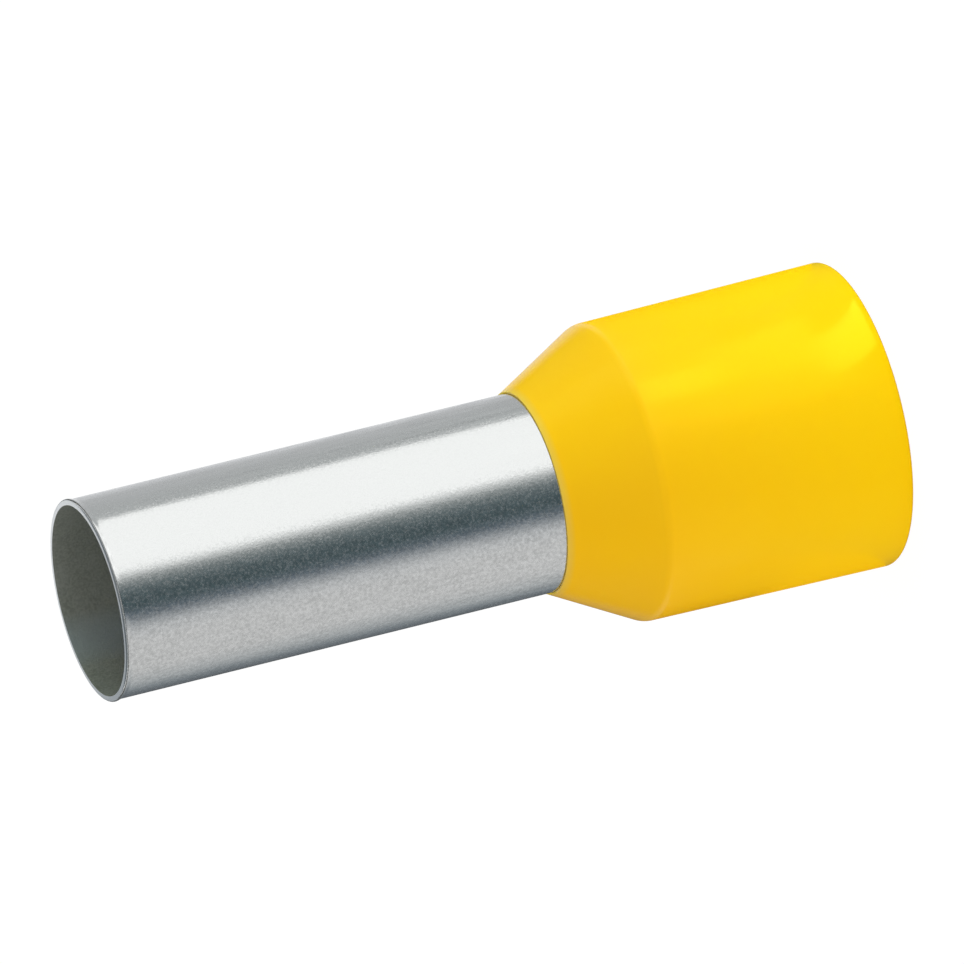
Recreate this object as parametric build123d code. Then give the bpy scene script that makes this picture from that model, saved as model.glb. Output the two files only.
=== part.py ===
from build123d import *
import math
import os

# Wire ferrule for stranded wire: a thin metal tube held in a moulded plastic collar.
# It stands on the mouth of its collar. The Z axis runs through both pieces, z = 0 is
# the collar's mouth, and the bare tube points up. Lengths are in millimetres.

# Crimp sleeve: drawn tube, cut off at the tip and flared at its inner end
conductor_bore_diameter = 7.3
sleeve_wall = 0.2
sleeve_reach = 17.8
tip_lip_rise = 0.08
tip_lip_length = 0.26
tip_lip_blend = 0.4
tip_edge_rounding = 0.09
tip_bore_easing = 0.02
straight_in_nose = 0.3

# Insulation collar: a drafted cylinder and a cone that closes on the sleeve
mouth_diameter = 11.82
body_draft = 0.14
body_length = 9.9
cone_length = 3.41
nose_wall = 0.06
shoulder_rounding = 0.8
rim_rounding = 0.14
rim_inner_rounding = 0.1
mouth_wall = 0.4
body_wall = 0.37
lead_in_length = 3.0
cone_wall = 0.4
funnel_width = 0.6
funnel_rounding = 0.5

# Space between the sleeve and the collar that holds it
seat_clearance = 0.01

# Radii and heights along the axis
bore_radius = conductor_bore_diameter / 2
sleeve_radius = bore_radius + sleeve_wall
grip_radius = sleeve_radius + seat_clearance
nose_radius = grip_radius + nose_wall
mouth_radius = mouth_diameter / 2
shoulder_radius = mouth_radius - body_draft
insulation_radius = shoulder_radius - body_wall
nose_height = body_length + cone_length
tip_height = nose_height + sleeve_reach

# Slope of the cone, which the flare and the funnel inside it follow
cone_angle = math.atan2(shoulder_radius - nose_radius, cone_length)
flare_outer_depth = cone_wall + seat_clearance
flare_inner_depth = flare_outer_depth + sleeve_wall
flare_edge_radius = insulation_radius - funnel_width


def cone_height(radius, depth):
    """Height where the surface lying depth below the cone's outside has this radius."""
    radius_at_nose = nose_radius - depth / math.cos(cone_angle)
    return nose_height - (radius - radius_at_nose) / math.tan(cone_angle)


def down_slope(start, distance):
    """Point at a distance down the cone's slope from a point of the half section."""
    radius, height = start
    return (
        radius + distance * math.sin(cone_angle),
        height - distance * math.cos(cone_angle),
    )


def below_surface(start, depth):
    """Point at a depth straight below the cone's surface from a point of the section."""
    radius, height = start
    return (
        radius - depth * math.cos(cone_angle),
        height - depth * math.sin(cone_angle),
    )


def turned_solid(corners):
    """Solid of revolution from the corners of its half section: radius, height, rounding."""
    with BuildPart() as turned:
        with BuildSketch(Plane.XZ):
            with BuildLine():
                FilletPolyline(
                    *[(radius, height) for radius, height, _ in corners],
                    radius=[rounding for _, _, rounding in corners],
                    close=True,
                )
            make_face()
        revolve(axis=Axis.Z)
    return turned.part


# The flare starts at a bend in the tube's wall and ends in a cut across that wall
bend_outside = (sleeve_radius, cone_height(sleeve_radius, flare_outer_depth))
bend_inside = (bore_radius, cone_height(bore_radius, flare_inner_depth))
flare_edge_inside = (flare_edge_radius, cone_height(flare_edge_radius, flare_inner_depth))
flare_edge_outside = below_surface(flare_edge_inside, -sleeve_wall)

# The bend is as wide as it can be below the stretch that stays straight inside the nose
bend_reach = nose_height - straight_in_nose - bend_outside[1]
bend_radius = bend_reach / math.tan(cone_angle / 2)


def make_crimp_sleeve():
    """Tube with a slightly rolled lip at its cut tip and a flare at its inner end."""
    return turned_solid(
        [
            (*bend_outside, bend_radius),
            (sleeve_radius, tip_height - tip_lip_length, tip_lip_blend),
            (sleeve_radius + tip_lip_rise, tip_height, tip_edge_rounding),
            (bore_radius + tip_bore_easing, tip_height, 0),
            (bore_radius, tip_height - tip_lip_length, 0),
            (*bend_inside, bend_radius + sleeve_wall),
            (*flare_edge_inside, 0),
            (*flare_edge_outside, 0),
        ]
    )


def make_insulation_collar():
    """Collar with a recess that holds the flare and a funnel level with its inside."""
    recess_bend = (grip_radius, cone_height(grip_radius, cone_wall))
    recess_end = below_surface(down_slope(flare_edge_outside, seat_clearance), -seat_clearance)
    funnel_top = below_surface(recess_end, flare_inner_depth - cone_wall)
    funnel_bottom = (insulation_radius, cone_height(insulation_radius, flare_inner_depth))
    return turned_solid(
        [
            (nose_radius, nose_height, 0),
            (shoulder_radius, body_length, shoulder_rounding),
            (mouth_radius, 0, rim_rounding),
            (mouth_radius - mouth_wall, 0, rim_inner_rounding),
            (insulation_radius, lead_in_length, 0),
            (*funnel_bottom, funnel_rounding),
            (*funnel_top, 0),
            (*recess_end, 0),
            (*recess_bend, bend_radius - seat_clearance),
            (grip_radius, nose_height, 0),
        ]
    )


pieces = {
    "crimp_sleeve": make_crimp_sleeve(),
    "insulation_collar": make_insulation_collar(),
}

os.makedirs("parts", exist_ok=True)
for name, piece in pieces.items():
    piece.label = name
    export_step(piece, os.path.join("parts", name + ".step"))
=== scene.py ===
import math

import bpy
from mathutils import Matrix, Vector


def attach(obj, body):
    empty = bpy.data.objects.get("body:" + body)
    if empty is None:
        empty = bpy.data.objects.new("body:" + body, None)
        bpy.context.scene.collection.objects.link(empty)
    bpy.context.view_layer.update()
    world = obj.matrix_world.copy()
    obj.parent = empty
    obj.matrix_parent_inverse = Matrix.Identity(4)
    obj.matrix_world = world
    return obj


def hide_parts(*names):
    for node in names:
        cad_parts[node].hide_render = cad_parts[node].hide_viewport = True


# Wire ferrule: a tinned copper tube in a yellow plastic collar. Sizes are in millimetres
# and meshes in metres. The Z axis runs through both pieces, from the collar's mouth at
# z = 0 to the tube's tip. The camera looks along +Y and down, and the azimuths of cards
# and lamps run in degrees from -Y toward +X.

mm = 0.001
scene = bpy.context.scene
scene.view_settings.view_transform = "Standard"

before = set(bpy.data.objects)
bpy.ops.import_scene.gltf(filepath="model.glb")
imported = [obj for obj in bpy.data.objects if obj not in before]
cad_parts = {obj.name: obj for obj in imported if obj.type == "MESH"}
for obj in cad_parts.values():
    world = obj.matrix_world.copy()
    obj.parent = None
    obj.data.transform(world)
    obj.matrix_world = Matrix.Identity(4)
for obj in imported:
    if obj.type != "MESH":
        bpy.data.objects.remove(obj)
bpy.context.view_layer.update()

# Crimp sleeve
bore_radius = 3.65
sleeve_wall = 0.2
sleeve_radius = bore_radius + sleeve_wall
sleeve_reach = 17.8
tip_lip_rise = 0.08
tip_lip_length = 0.26
tip_lip_blend = 0.4
tip_edge_rounding = 0.09
tip_bore_easing = 0.02
straight_in_nose = 0.3

# Insulation collar
mouth_radius = 5.91
body_draft = 0.14
shoulder_radius = mouth_radius - body_draft
body_length = 9.9
cone_length = 3.41
seat_clearance = 0.01
grip_radius = sleeve_radius + seat_clearance
nose_wall = 0.06
nose_radius = grip_radius + nose_wall
shoulder_rounding = 0.8
rim_rounding = 0.14
rim_inner_rounding = 0.1
mouth_wall = 0.4
body_wall = 0.37
insulation_radius = shoulder_radius - body_wall
lead_in_length = 3.0
cone_wall = 0.4
funnel_width = 0.6
funnel_rounding = 0.5
flare_edge_radius = insulation_radius - funnel_width

# Heights of both pieces' upper ends
nose_height = body_length + cone_length
tip_height = nose_height + sleeve_reach

# Slope of the cone, which the flare and the funnel inside it follow
cone_angle = math.atan2(shoulder_radius - nose_radius, cone_length)
flare_outer_depth = cone_wall + seat_clearance
flare_inner_depth = flare_outer_depth + sleeve_wall

# Fineness of the turned meshes and of the cards
turn_steps = 288
arc_steps = 12
longest_run = 0.5
sharp_edge = math.radians(30)
card_step = 4

# Parts of a noise's range that the patterns use
narrow_range = (0.35, 0.65)
wide_range = (0.3, 0.7)

# Sockets of the Mix node share their names, so those for colours are found by number
mix_first_colour = 6
mix_second_colour = 7
mix_colour_result = 2

# Reflected cards: the mats lie close round the collar, the surroundings further out
mat_start = 5.5
mat_reach = 36
surround_reach = 260
floor_reach = 900
wall_radius = 850
veil_radius = 849
whole_turn = (-180, 180)
white_sector = (23, 91.5)
white_tone = (1.18, 1.19, 1.18)
dim_tone = (0.10, 0.105, 0.10)
overhead_tone = (0.20, 0.22, 0.23)


def cone_height(radius, depth):
    """Height where the surface lying depth below the cone's outside has this radius."""
    radius_at_nose = nose_radius - depth / math.cos(cone_angle)
    return nose_height - (radius - radius_at_nose) / math.tan(cone_angle)


def below_surface(start, depth):
    """Point at a depth straight below the cone's surface from a point of the section."""
    return start[0] - depth * math.cos(cone_angle), start[1] - depth * math.sin(cone_angle)


def down_slope(start, distance):
    """Point at a distance down the cone's slope from a point of the half section."""
    return (
        start[0] + distance * math.sin(cone_angle),
        start[1] - distance * math.cos(cone_angle),
    )


# The flare starts at a bend in the tube's wall and ends in a cut across that wall
bend_outside = (sleeve_radius, cone_height(sleeve_radius, flare_outer_depth))
bend_inside = (bore_radius, cone_height(bore_radius, flare_inner_depth))
flare_edge_inside = (flare_edge_radius, cone_height(flare_edge_radius, flare_inner_depth))
flare_edge_outside = below_surface(flare_edge_inside, -sleeve_wall)

# The bend is as wide as it can be below the stretch that stays straight inside the nose
bend_reach = nose_height - straight_in_nose - bend_outside[1]
bend_radius = bend_reach / math.tan(cone_angle / 2)


def rounded_corner(before, corner, after, rounding):
    """Points along the arc that rounds one corner of a half section."""
    if rounding == 0:
        return [corner]
    back = (before - corner).normalized()
    ahead = (after - corner).normalized()
    half_angle = back.angle(ahead) / 2
    centre = corner + (back + ahead).normalized() * (rounding / math.sin(half_angle))
    first = corner + back * (rounding / math.tan(half_angle)) - centre
    last = corner + ahead * (rounding / math.tan(half_angle)) - centre
    start_angle = math.atan2(first.y, first.x)
    turn = math.atan2(last.y, last.x) - start_angle
    turn = (turn + math.pi) % (2 * math.pi) - math.pi
    points = []
    for step in range(arc_steps + 1):
        angle = start_angle + turn * step / arc_steps
        points.append(centre + rounding * Vector((math.cos(angle), math.sin(angle))))
    return points


def rounded_section(corners):
    """Closed half section with rounded corners, whose long runs are divided."""
    spots = [Vector((radius, height)) for radius, height, _ in corners]
    outline = []
    for place, (_, _, rounding) in enumerate(corners):
        ahead = spots[(place + 1) % len(spots)]
        outline += rounded_corner(spots[place - 1], spots[place], ahead, rounding)
    points = []
    for place, point in enumerate(outline):
        ahead = outline[(place + 1) % len(outline)]
        pieces = max(1, math.ceil((ahead - point).length / longest_run))
        points += [point.lerp(ahead, step / pieces) for step in range(pieces)]
    return points


def turned_mesh(name, section, materials, material_of):
    """Object turned about Z from a closed half section, dressed and riding on the body.

    A section that runs up its outside and down its inside gives faces that look outward.
    """
    vertices = []
    for turn in range(turn_steps):
        azimuth = 2 * math.pi * turn / turn_steps
        for point in section:
            vertices.append(
                (
                    point.x * math.cos(azimuth) * mm,
                    point.x * math.sin(azimuth) * mm,
                    point.y * mm,
                )
            )
    count = len(section)
    faces = []
    for turn in range(turn_steps):
        here = turn * count
        there = (turn + 1) % turn_steps * count
        for place in range(count):
            ahead = (place + 1) % count
            faces.append((here + place, there + place, there + ahead, here + ahead))
    mesh = bpy.data.meshes.new(name)
    mesh.from_pydata(vertices, [], faces)
    for material in materials:
        mesh.materials.append(material)
    for face in mesh.polygons:
        place = face.index % count
        middle = (section[place] + section[(place + 1) % count]) / 2
        face.material_index = material_of(middle)
    mesh.shade_smooth()
    mesh.set_sharp_from_angle(angle=sharp_edge)
    turned = bpy.data.objects.new(name, mesh)
    scene.collection.objects.link(turned)
    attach(turned, "root")
    return turned


def new_material(name):
    """Material with its node tree and its Principled shader."""
    material = bpy.data.materials.new(name)
    material.use_nodes = True
    return material, material.node_tree, material.node_tree.nodes["Principled BSDF"]


def feed(tree, socket, value):
    """Gives an input a fixed number or colour, or links it to another node's output."""
    if isinstance(value, bpy.types.NodeSocket):
        tree.links.new(value, socket)
    elif isinstance(value, tuple):
        socket.default_value = (*value, 1)
    else:
        socket.default_value = value


def noise(tree, size, detail=2.0, stretch=1.0):
    """Noise over the object's surface with features of a size in mm, longer along Z."""
    place = tree.nodes.new("ShaderNodeTexCoord")
    mapping = tree.nodes.new("ShaderNodeMapping")
    mapping.inputs["Scale"].default_value = (1, 1, 1 / stretch)
    texture = tree.nodes.new("ShaderNodeTexNoise")
    texture.inputs["Scale"].default_value = 1 / (size * mm)
    texture.inputs["Detail"].default_value = detail
    tree.links.new(place.outputs["Object"], mapping.inputs["Vector"])
    tree.links.new(mapping.outputs["Vector"], texture.inputs["Vector"])
    return texture.outputs["Fac"]


def spread(tree, value, source, target):
    """Value moved from a source range to a target range and kept inside it."""
    node = tree.nodes.new("ShaderNodeMapRange")
    node.inputs["From Min"].default_value = source[0]
    node.inputs["From Max"].default_value = source[1]
    feed(tree, node.inputs["To Min"], target[0])
    feed(tree, node.inputs["To Max"], target[1])
    tree.links.new(value, node.inputs["Value"])
    return node.outputs["Result"]


def blended(tree, share, first, second):
    """Colour between two colours, each a fixed colour or another node's output."""
    node = tree.nodes.new("ShaderNodeMix")
    node.data_type = "RGBA"
    tree.links.new(share, node.inputs["Factor"])
    feed(tree, node.inputs[mix_first_colour], first)
    feed(tree, node.inputs[mix_second_colour], second)
    return node.outputs[mix_colour_result]


def raised(tree, height, rise, below=None):
    """Normal of a relief that rises by a height in mm, on top of another relief."""
    node = tree.nodes.new("ShaderNodeBump")
    node.inputs["Strength"].default_value = 1
    node.inputs["Distance"].default_value = rise * mm
    tree.links.new(height, node.inputs["Height"])
    if below is not None:
        tree.links.new(below, node.inputs["Normal"])
    return node.outputs["Normal"]


def height_share(tree, low, high):
    """Share from zero to one between two heights in mm along the object's axis."""
    place = tree.nodes.new("ShaderNodeTexCoord")
    parts = tree.nodes.new("ShaderNodeSeparateXYZ")
    tree.links.new(place.outputs["Object"], parts.inputs["Vector"])
    return spread(tree, parts.outputs["Z"], (low * mm, high * mm), (0, 1))


def side_share(tree, side, low, high):
    """Share from zero to one between two distances in mm toward a side, in degrees from +X."""
    place = tree.nodes.new("ShaderNodeTexCoord")
    toward = tree.nodes.new("ShaderNodeVectorMath")
    toward.operation = "DOT_PRODUCT"
    angle = math.radians(side)
    toward.inputs[1].default_value = (math.cos(angle), math.sin(angle), 0)
    tree.links.new(place.outputs["Object"], toward.inputs[0])
    return spread(tree, toward.outputs["Value"], (low * mm, high * mm), (0, 1))


def make_tin():
    """Satin tin plate outside the tube: fine dull specks, and mottled on one side."""
    plain_tone = (0.740, 0.749, 0.746)
    dark_cloud_tone = (0.630, 0.640, 0.637)
    light_cloud_tone = (0.680, 0.690, 0.687)
    mottle_tone = (0.820, 0.830, 0.827)
    speck_range = (0.36, 0.68)
    glossiest = 0.10
    dullest = 0.29
    dullest_on_smooth_side = 0.22
    material, tree, shader = new_material("tin_plate")
    clouds = spread(tree, noise(tree, 0.8, detail=3.0, stretch=1.6), narrow_range, (0, 1))
    clouded = blended(tree, clouds, dark_cloud_tone, light_cloud_tone)
    mottle = spread(tree, noise(tree, 0.13), narrow_range, (0, 1))
    mottled = blended(tree, mottle, clouded, mottle_tone)
    mottled_side = side_share(tree, -130, sleeve_radius * 0.6, sleeve_radius * 0.86)
    base = blended(tree, mottled_side, plain_tone, mottled)
    tree.links.new(base, shader.inputs["Base Color"])
    shader.inputs["Metallic"].default_value = 1
    smooth_side = side_share(tree, -60, sleeve_radius * 0.94, sleeve_radius * 0.97)
    dullest_there = spread(tree, smooth_side, (0, 1), (dullest, dullest_on_smooth_side))
    specks = spread(tree, noise(tree, 0.09), speck_range, (glossiest, dullest_there))
    tree.links.new(specks, shader.inputs["Roughness"])
    clusters = raised(tree, noise(tree, 0.2, detail=1.5, stretch=1.2), rise=0.0012)
    grain = raised(tree, noise(tree, 0.08, detail=1.0), rise=0.002, below=clusters)
    tree.links.new(grain, shader.inputs["Normal"])
    return material


def make_cut_tin():
    """Cut edge of the tube at its tip, with a painted highlight on one side and painted shade
    on the other.
    """
    painted_shade_tone = (0.29, 0.33, 0.36)
    painted_highlight_tone = (0.75, 0.78, 0.80)
    blend_reach = 3.5
    material, tree, shader = new_material("cut_edge")
    # Painted light: the cut face is coloured bright on one side and dark on the other
    painted_light_side = side_share(tree, 25, -blend_reach, blend_reach)
    colour = blended(tree, painted_light_side, painted_shade_tone, painted_highlight_tone)
    tree.links.new(colour, shader.inputs["Base Color"])
    shader.inputs["Metallic"].default_value = 1
    shader.inputs["Roughness"].default_value = 0.3
    grain = raised(tree, noise(tree, 0.07, detail=1.0), rise=0.003)
    tree.links.new(grain, shader.inputs["Normal"])
    return material


def make_bore_tin():
    """Dull, dark grey inside of the tube, its darkness partly duller tin and partly painted
    shade, with a painted sheen as a lighter band along one side.
    """
    # The dark tones are partly the duller tin inside and partly painted shade in the bore
    dark_cloud_tone = (0.35, 0.37, 0.325)
    light_cloud_tone = (0.41, 0.43, 0.385)
    speck_tone = (0.53, 0.55, 0.50)
    painted_sheen_tone = (0.47, 0.53, 0.54)
    material, tree, shader = new_material("tin_bore")
    clouds = spread(tree, noise(tree, 0.9, detail=3.0), narrow_range, (0, 1))
    base = blended(tree, clouds, dark_cloud_tone, light_cloud_tone)
    specks = spread(tree, noise(tree, 0.09, detail=1.0), narrow_range, (0, 0.6))
    grey = blended(tree, specks, base, speck_tone)
    # Painted sheen: a lighter bluish band along one side of the bore
    painted_sheen_stripe = side_share(tree, 113, bore_radius * 0.95, bore_radius * 1.01)
    colour = blended(tree, painted_sheen_stripe, grey, painted_sheen_tone)
    tree.links.new(colour, shader.inputs["Base Color"])
    shader.inputs["Metallic"].default_value = 0.85
    dullness = spread(tree, noise(tree, 0.3), wide_range, (0.58, 0.68))
    tree.links.new(dullness, shader.inputs["Roughness"])
    grain = raised(tree, noise(tree, 0.1), rise=0.006)
    tree.links.new(grain, shader.inputs["Normal"])
    return material


def make_plastic():
    """Yellow plastic with a soft gloss, with painted light that brightens the body toward the
    mouth and painted shade that makes the cone deeper, greyish where it thins out.
    """
    # The body's tone carries painted light, brighter at the mouth than at the shoulder
    mouth_tone_with_painted_light = (0.970, 0.597, 0.0012)
    shoulder_tone = (0.880, 0.482, 0.0030)
    cone_tone_with_painted_shade = (0.805, 0.436, 0.0035)
    flow_tone = (0.93, 0.55, 0.002)
    thin_tone = (0.70, 0.45, 0.06)
    thin_length = 0.28
    shoulder_blend = 0.2
    material, tree, shader = new_material("yellow_plastic")
    body = blended(tree, height_share(tree, 0, body_length), mouth_tone_with_painted_light, shoulder_tone)
    # Painted shade: the cone's tone is darker and deeper than the body's
    cone = height_share(tree, body_length - shoulder_blend, body_length + shoulder_blend)
    both = blended(tree, cone, body, cone_tone_with_painted_shade)
    flow = spread(tree, noise(tree, 4.0, detail=1.0, stretch=2.5), wide_range, (0, 0.15))
    yellow = blended(tree, flow, both, flow_tone)
    thin = height_share(tree, nose_height - thin_length, nose_height)
    colour = blended(tree, thin, yellow, thin_tone)
    tree.links.new(colour, shader.inputs["Base Color"])
    dullness = spread(tree, noise(tree, 1.5), wide_range, (0.20, 0.24))
    tree.links.new(dullness, shader.inputs["Roughness"])
    shader.inputs["IOR"].default_value = 1.42
    shader.inputs["Specular Tint"].default_value = (1, 0.85, 0.25, 1)
    shader.inputs["Subsurface Weight"].default_value = 0.15
    shader.inputs["Subsurface Radius"].default_value = (1, 0.8, 0.1)
    shader.inputs["Subsurface Scale"].default_value = 0.3 * mm
    waves = raised(tree, noise(tree, 3.0, detail=0.0, stretch=1.5), rise=0.01)
    grain = raised(tree, noise(tree, 0.12, detail=1.0), rise=0.0003, below=waves)
    tree.links.new(grain, shader.inputs["Normal"])
    return material


def make_sleeve():
    """Tube with a slightly rolled lip at its cut tip and a flare at its inner end."""
    cut_start = tip_height - tip_edge_rounding * 0.15
    bore_limit = bore_radius + 0.015
    section = rounded_section(
        [
            (*bend_outside, bend_radius),
            (sleeve_radius, tip_height - tip_lip_length, tip_lip_blend),
            (sleeve_radius + tip_lip_rise, tip_height, tip_edge_rounding),
            (bore_radius + tip_bore_easing, tip_height, 0),
            (bore_radius, tip_height - tip_lip_length, 0),
            (*bend_inside, bend_radius + sleeve_wall),
            (*flare_edge_inside, 0),
            (*flare_edge_outside, 0),
        ]
    )
    materials = [make_tin(), make_bore_tin(), make_cut_tin()]
    plate, bore, cut = range(len(materials))

    def material_of(middle):
        if middle.y > cut_start:
            return cut
        return bore if middle.x < bore_limit else plate

    return turned_mesh("sleeve_tube", section, materials, material_of)


def make_collar():
    """Collar with a recess that holds the flare and a funnel level with its inside."""
    recess_end = below_surface(down_slope(flare_edge_outside, seat_clearance), -seat_clearance)
    recess_bend = (grip_radius, cone_height(grip_radius, cone_wall))
    funnel_top = below_surface(recess_end, flare_inner_depth - cone_wall)
    funnel_bottom = (insulation_radius, cone_height(insulation_radius, flare_inner_depth))
    section = rounded_section(
        [
            (grip_radius, nose_height, 0),
            (*recess_bend, bend_radius - seat_clearance),
            (*recess_end, 0),
            (*funnel_top, 0),
            (*funnel_bottom, funnel_rounding),
            (insulation_radius, lead_in_length, 0),
            (mouth_radius - mouth_wall, 0, rim_inner_rounding),
            (mouth_radius, 0, rim_rounding),
            (shoulder_radius, body_length, shoulder_rounding),
            (nose_radius, nose_height, 0),
        ]
    )
    return turned_mesh("collar_moulding", section, [make_plastic()], lambda middle: 0)


def make_camera():
    """Camera that looks down by its tilt and is turned on its side, as in the photo."""
    tilt = math.radians(18.17)
    roll = math.radians(-13.73)
    tip_to_right = -14.712
    tip_below = 4.439
    tip_ahead = 700.0
    ahead = Vector((0, math.cos(tilt), -math.sin(tilt)))
    over = Vector((0, math.sin(tilt), math.cos(tilt)))
    side = Vector((1, 0, 0))
    right = side * math.sin(roll) - over * math.cos(roll)
    down = -side * math.cos(roll) - over * math.sin(roll)
    tip = Vector((0, 0, tip_height))
    place = tip - (right * tip_to_right + down * tip_below + ahead * tip_ahead)
    camera_data = bpy.data.cameras.new("camera")
    camera_data.sensor_width = 36
    camera_data.lens = 699.75
    camera_data.clip_start = 0.01
    camera_data.clip_end = 10
    camera = bpy.data.objects.new("camera", camera_data)
    camera.matrix_world = Matrix.Translation(place * mm) @ Matrix(
        (
            (right.x, -down.x, -ahead.x, 0),
            (right.y, -down.y, -ahead.y, 0),
            (right.z, -down.z, -ahead.z, 0),
            (0, 0, 0, 1),
        )
    )
    scene.collection.objects.link(camera)
    scene.camera = camera


def seen_directly(tree):
    """One for camera, glossy and transmission rays, zero for the rays that carry light."""
    path = tree.nodes.new("ShaderNodeLightPath")
    total = path.outputs["Is Camera Ray"]
    for name in ("Is Glossy Ray", "Is Transmission Ray"):
        node = tree.nodes.new("ShaderNodeMath")
        node.operation = "MAXIMUM"
        tree.links.new(total, node.inputs[0])
        tree.links.new(path.outputs[name], node.inputs[1])
        total = node.outputs[0]
    return total


def make_world():
    """Soft light from all round, weaker from overhead, and white where it is seen."""
    level_light = (1.50, 1.50, 1.50)
    overhead_light = (0.66, 0.66, 0.66)
    world = bpy.data.worlds.new("studio")
    scene.world = world
    world.use_nodes = True
    tree = world.node_tree
    fill = tree.nodes["Background"]
    place = tree.nodes.new("ShaderNodeTexCoord")
    parts = tree.nodes.new("ShaderNodeSeparateXYZ")
    tree.links.new(place.outputs["Generated"], parts.inputs["Vector"])
    height = spread(tree, parts.outputs["Z"], (0, 1), (0, 1))
    glow = blended(tree, height, level_light, overhead_light)
    tree.links.new(glow, fill.inputs["Color"])
    white = tree.nodes.new("ShaderNodeBackground")
    white.inputs["Color"].default_value = (1, 1, 1, 1)
    white.inputs["Strength"].default_value = 1
    either = tree.nodes.new("ShaderNodeMixShader")
    tree.links.new(seen_directly(tree), either.inputs["Fac"])
    tree.links.new(fill.outputs["Background"], either.inputs[1])
    tree.links.new(white.outputs["Background"], either.inputs[2])
    tree.links.new(either.outputs["Shader"], tree.nodes["World Output"].inputs["Surface"])


def make_floor():
    """White floor that keeps a faint shadow of the object."""
    half = 3.0
    floor_tone = (0.85, 0.85, 0.85, 1)
    shadow_tone = (0.10, 0.10, 0.10, 1)
    shown_white = 0.93
    mesh = bpy.data.meshes.new("floor")
    mesh.from_pydata(
        [(-half, -half, 0), (half, -half, 0), (half, half, 0), (-half, half, 0)],
        [],
        [(0, 1, 2, 3)],
    )
    material = bpy.data.materials.new("floor_white")
    material.use_nodes = True
    tree = material.node_tree
    tree.nodes.remove(tree.nodes["Principled BSDF"])
    matt = tree.nodes.new("ShaderNodeBsdfDiffuse")
    matt.inputs["Color"].default_value = floor_tone
    shaded = tree.nodes.new("ShaderNodeBsdfDiffuse")
    shaded.inputs["Color"].default_value = shadow_tone
    white = tree.nodes.new("ShaderNodeEmission")
    white.inputs["Strength"].default_value = shown_white
    shown = tree.nodes.new("ShaderNodeAddShader")
    tree.links.new(shaded.outputs["BSDF"], shown.inputs[0])
    tree.links.new(white.outputs["Emission"], shown.inputs[1])
    either = tree.nodes.new("ShaderNodeMixShader")
    tree.links.new(seen_directly(tree), either.inputs["Fac"])
    tree.links.new(matt.outputs["BSDF"], either.inputs[1])
    tree.links.new(shown.outputs["Shader"], either.inputs[2])
    tree.links.new(either.outputs["Shader"], tree.nodes["Material Output"].inputs["Surface"])
    mesh.materials.append(material)
    floor = bpy.data.objects.new("floor", mesh)
    scene.collection.objects.link(floor)


def only_reflected(name, vertices, faces, material):
    """Staged card that lights nothing and shows in reflections alone."""
    mesh = bpy.data.meshes.new(name)
    mesh.from_pydata(vertices, [], faces)
    mesh.materials.append(material)
    card = bpy.data.objects.new(name, mesh)
    card.visible_camera = False
    card.visible_diffuse = False
    card.visible_transmission = False
    card.visible_volume_scatter = False
    card.visible_shadow = False
    scene.collection.objects.link(card)
    return card


def swept_card(name, edges, sector, material):
    """Card swept round the Z axis through a sector, between two edges.

    An edge is a radius and a height, and a sector is a first and a last azimuth.
    """
    first, last = sector
    steps = max(2, round((last - first) / card_step))
    vertices = []
    for step in range(steps + 1):
        azimuth = math.radians(first + (last - first) * step / steps)
        for radius, height in edges:
            vertices.append(
                (radius * math.sin(azimuth) * mm, -radius * math.cos(azimuth) * mm, height * mm)
            )
    faces = [(near, near + 1, near + 3, near + 2) for near in range(0, 2 * steps, 2)]
    return only_reflected(name, vertices, faces, material)


def flat_card(name, inner, outer, sector, height, material):
    """Part of a flat ring between two radii, at one height."""
    return swept_card(name, ((inner, height), (outer, height)), sector, material)


def standing_card(name, radius, sector, heights, material):
    """Upright wall at one radius, between two heights."""
    return swept_card(name, [(radius, height) for height in heights], sector, material)


def card_material(name, tone, clear=False):
    """Plain glowing surface of one tone; if clear, what lies behind it shows as well."""
    material = bpy.data.materials.new(name)
    material.use_nodes = True
    tree = material.node_tree
    tree.nodes.remove(tree.nodes["Principled BSDF"])
    glow = tree.nodes.new("ShaderNodeEmission")
    glow.inputs["Color"].default_value = (*tone, 1)
    shown = glow.outputs["Emission"]
    if clear:
        behind = tree.nodes.new("ShaderNodeBsdfTransparent")
        both = tree.nodes.new("ShaderNodeAddShader")
        tree.links.new(shown, both.inputs[0])
        tree.links.new(behind.outputs["BSDF"], both.inputs[1])
        shown = both.outputs["Shader"]
    tree.links.new(shown, tree.nodes["Material Output"].inputs["Surface"])
    return material


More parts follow.
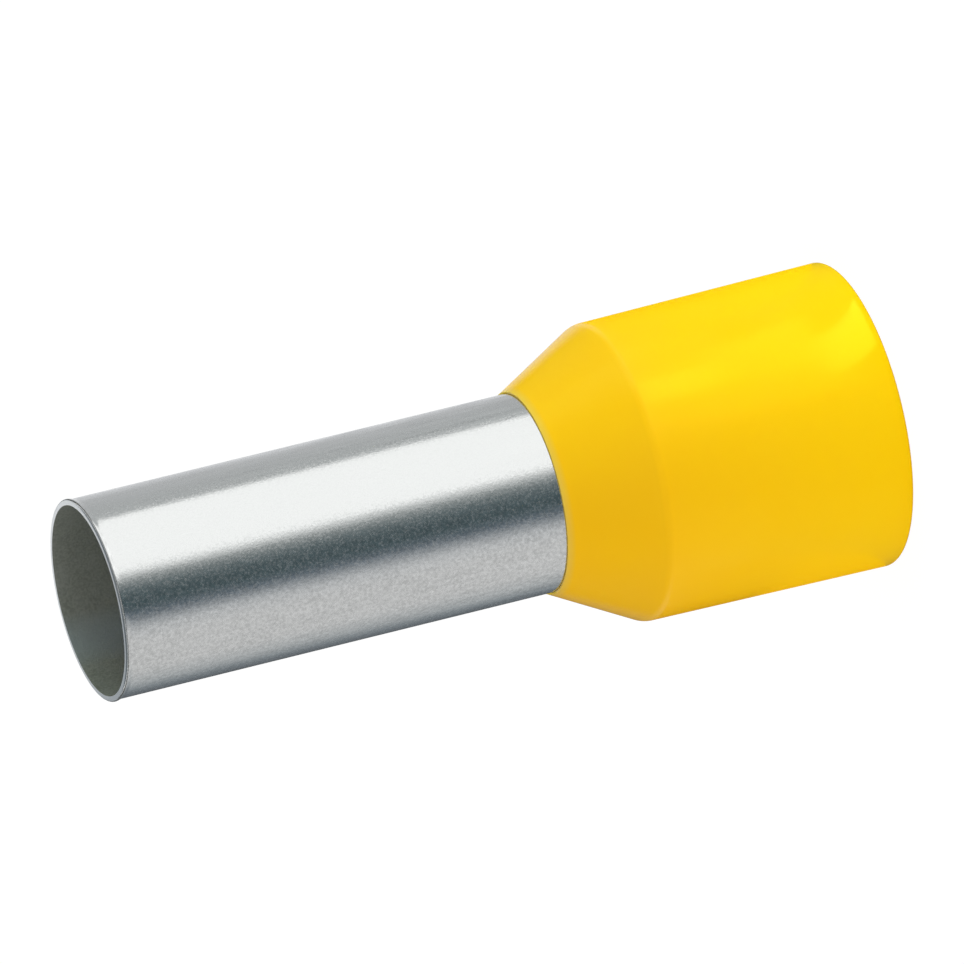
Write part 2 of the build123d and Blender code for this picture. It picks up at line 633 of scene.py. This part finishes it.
def make_surround_material(name, clear=False):
    """Grey tones that change round the object, with a mottled cloth-like pattern."""
    # Each row is an azimuth and the tone that the card has there
    tones = [
        (-180, 0.05, 0.05, 0.05),
        (-150, 0.15, 0.17, 0.19),
        (-138, 0.24, 0.27, 0.29),
        (-120, 0.48, 0.50, 0.51),
        (-98, 0.64, 0.64, 0.64),
        (-60, 0.66, 0.66, 0.66),
        (-45, 0.61, 0.62, 0.63),
        (-28, 0.13, 0.16, 0.19),
        (-18, 0.070, 0.103, 0.113),
        (-8, 0.070, 0.100, 0.110),
        (2, 0.13, 0.165, 0.175),
        (12, 0.32, 0.345, 0.345),
        (23, *white_tone),
        (91, *white_tone),
        (94, 0.46, 0.48, 0.48),
        (140, 0.54, 0.55, 0.56),
        (160, 0.70, 0.71, 0.73),
        (180, 0.86, 0.87, 0.89),
    ]
    material = card_material(name, white_tone, clear)
    tree = material.node_tree
    glow = tree.nodes["Emission"]
    place = tree.nodes.new("ShaderNodeTexCoord")
    turn = tree.nodes.new("ShaderNodeMapping")
    turn.inputs["Rotation"].default_value = (0, 0, math.radians(90))
    around = tree.nodes.new("ShaderNodeTexGradient")
    around.gradient_type = "RADIAL"
    ramp = tree.nodes.new("ShaderNodeValToRGB")
    stops = ramp.color_ramp.elements
    while len(stops) < len(tones):
        stops.new(0.5)
    for stop, (azimuth, *tone) in zip(stops, tones):
        stop.position = (azimuth + 180) / 360
        stop.color = (*tone, 1)
    tree.links.new(place.outputs["Object"], turn.inputs["Vector"])
    tree.links.new(turn.outputs["Vector"], around.inputs["Vector"])
    tree.links.new(around.outputs["Color"], ramp.inputs["Fac"])
    tree.links.new(ramp.outputs["Color"], glow.inputs["Color"])
    mottle = spread(tree, noise(tree, 5.0, detail=3.0), wide_range, (0.65, 1.35))
    tree.links.new(mottle, glow.inputs["Strength"])
    return material


def collection_of(name, piece):
    """Collection with one piece, for the cards that show on it alone."""
    collection = bpy.data.collections.new(name)
    collection.objects.link(piece)
    return collection


def make_surroundings(sleeve_alone):
    """Flat cards and a canopy round the object, and a nearer card for the sleeve alone."""
    surround = make_surround_material("surround_tones")
    white = card_material("white_tone", white_tone)
    black = card_material("black_tone", (0, 0, 0))
    dim = card_material("far_mat_tone", dim_tone)
    canopy = card_material("canopy_tone", overhead_tone)
    # Each row is a name, two radii, a sector, a height and a material
    cards = [
        ("surround_card", mat_reach, surround_reach, whole_turn, 0.05, surround),
        ("white_card", 38, floor_reach, white_sector, 0.2, white),
        ("black_mat", mat_start, mat_reach, whole_turn, 0.04, black),
        ("far_mat", surround_reach, floor_reach, whole_turn, 0.05, dim),
        ("canopy_card", 0.5, 220, whole_turn, 150, canopy),
    ]
    for card in cards:
        flat_card(*card)
    inner = make_surround_material("inner_tones", clear=True)
    inner_card = flat_card("inner_card", mat_start, mat_reach, whole_turn, 0.07, inner)
    inner_card.light_linking.receiver_collection = sleeve_alone


def make_walls(sleeve_alone):
    """Walls in the collar's tones, with veils before them that show on the sleeve alone."""
    near_sides = (-158, 158)
    far_side = (158, 202)
    low_tone = (0.10, 0.08, 0.02)
    high_tone = (0.75, 0.75, 0.03)
    # Each row is a name, a sector, two heights, the wall's tone and the sleeve's total
    walls = [
        ("side_wall", near_sides, (1, 350), low_tone, dim_tone),
        ("far_wall", far_side, (1, 170), low_tone, overhead_tone),
        ("high_wall", near_sides, (350, 575), high_tone, (1, 1, 1)),
        ("high_far_wall", far_side, (170, 575), high_tone, (1, 1, 1)),
    ]
    for name, sector, heights, tone, sleeve_tone in walls:
        wall_material = card_material(name + "_tone", tone)
        standing_card(name, wall_radius, sector, heights, wall_material)
        added = tuple(total - part for total, part in zip(sleeve_tone, tone))
        veil_material = card_material(name + "_veil_tone", added, clear=True)
        veil = standing_card(name + "_veil", veil_radius, sector, heights, veil_material)
        veil.light_linking.receiver_collection = sleeve_alone


def make_collar_mats(collar_alone):
    """Mats round the collar that show on it alone, and strips for its soft streak."""
    mat_height = 0.10
    strip_height = 0.15
    # Each row is a name, two radii, a sector, a height and a tone
    mats = [
        ("near", mat_start, 24, (-90, 90), mat_height, (0.06, 0.06, 0.06)),
        ("dim", 24, mat_reach, (-40, 22), mat_height, (0.10, 0.12, 0.13)),
        ("grey", 24, mat_reach, (-90, -40), mat_height, (0.62, 0.62, 0.30)),
        ("gold", 24, mat_reach, (22, 90), mat_height, (1.18, 1.10, 0.02)),
        ("honey", mat_start, 18, (-180, -90), mat_height, (0.75, 0.38, 0.01)),
        ("amber", 18, mat_reach, (-180, -90), mat_height, (0.30, 0.12, 0.01)),
        ("yellow", mat_start, mat_reach, (90, 180), mat_height, (0.80, 0.50, 0.01)),
        ("mouth_sheen", 6.2, 12.5, (25, 49), strip_height, (5.6, 5.9, 1.2)),
        ("low_sheen", 12.5, 21, (35, 69), strip_height, (2.8, 3.1, 0.4)),
        ("middle_sheen", 21, 28, (35, 70), strip_height, (1.6, 1.9, 0.3)),
        ("shoulder_sheen", 28, mat_reach, (40, 59), strip_height, (5.6, 7.4, 1.2)),
        ("fringe_sheen", 10, 31, (16, 35), strip_height, (1.5, 1.5, 0.3)),
    ]
    for name, inner, outer, sector, height, tone in mats:
        material = card_material(name + "_tone", tone, clear=True)
        mat = flat_card(name, inner, outer, sector, height, material)
        mat.light_linking.receiver_collection = collar_alone


def aimed_at(place, target):
    """Matrix of a lamp that stands at a place and points at a target."""
    turn = (Vector(target) - Vector(place)).to_track_quat("-Z", "Y")
    return Matrix.Translation(place) @ turn.to_matrix().to_4x4()


def make_lamp(name, azimuth, energy, tone):
    """Large soft lamp that stands on one side and points at the collar."""
    width = 70
    distance = 120
    height = 30
    aim_height = 8
    lamp_data = bpy.data.lights.new(name, "AREA")
    lamp_data.shape = "SQUARE"
    lamp_data.size = width * mm
    lamp_data.energy = energy
    lamp_data.color = tone
    lamp = bpy.data.objects.new(name, lamp_data)
    angle = math.radians(azimuth)
    place = Vector((math.sin(angle) * distance, -math.cos(angle) * distance, height)) * mm
    lamp.matrix_world = aimed_at(place, (0, 0, aim_height * mm))
    lamp.visible_camera = False
    lamp.visible_glossy = False
    scene.collection.objects.link(lamp)


make_camera()
make_world()
make_floor()
make_lamp("key_lamp", azimuth=74, energy=0.070, tone=(0.62, 1, 0.7))
make_lamp("fill_lamp", azimuth=-66, energy=0.007, tone=(1, 0.9, 0.9))

sleeve = make_sleeve()
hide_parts("crimp_sleeve")

collar = make_collar()
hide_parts("insulation_collar")

sleeve_alone = collection_of("sleeve_alone", sleeve)
make_surroundings(sleeve_alone)
make_walls(sleeve_alone)
make_collar_mats(collection_of("collar_alone", collar))
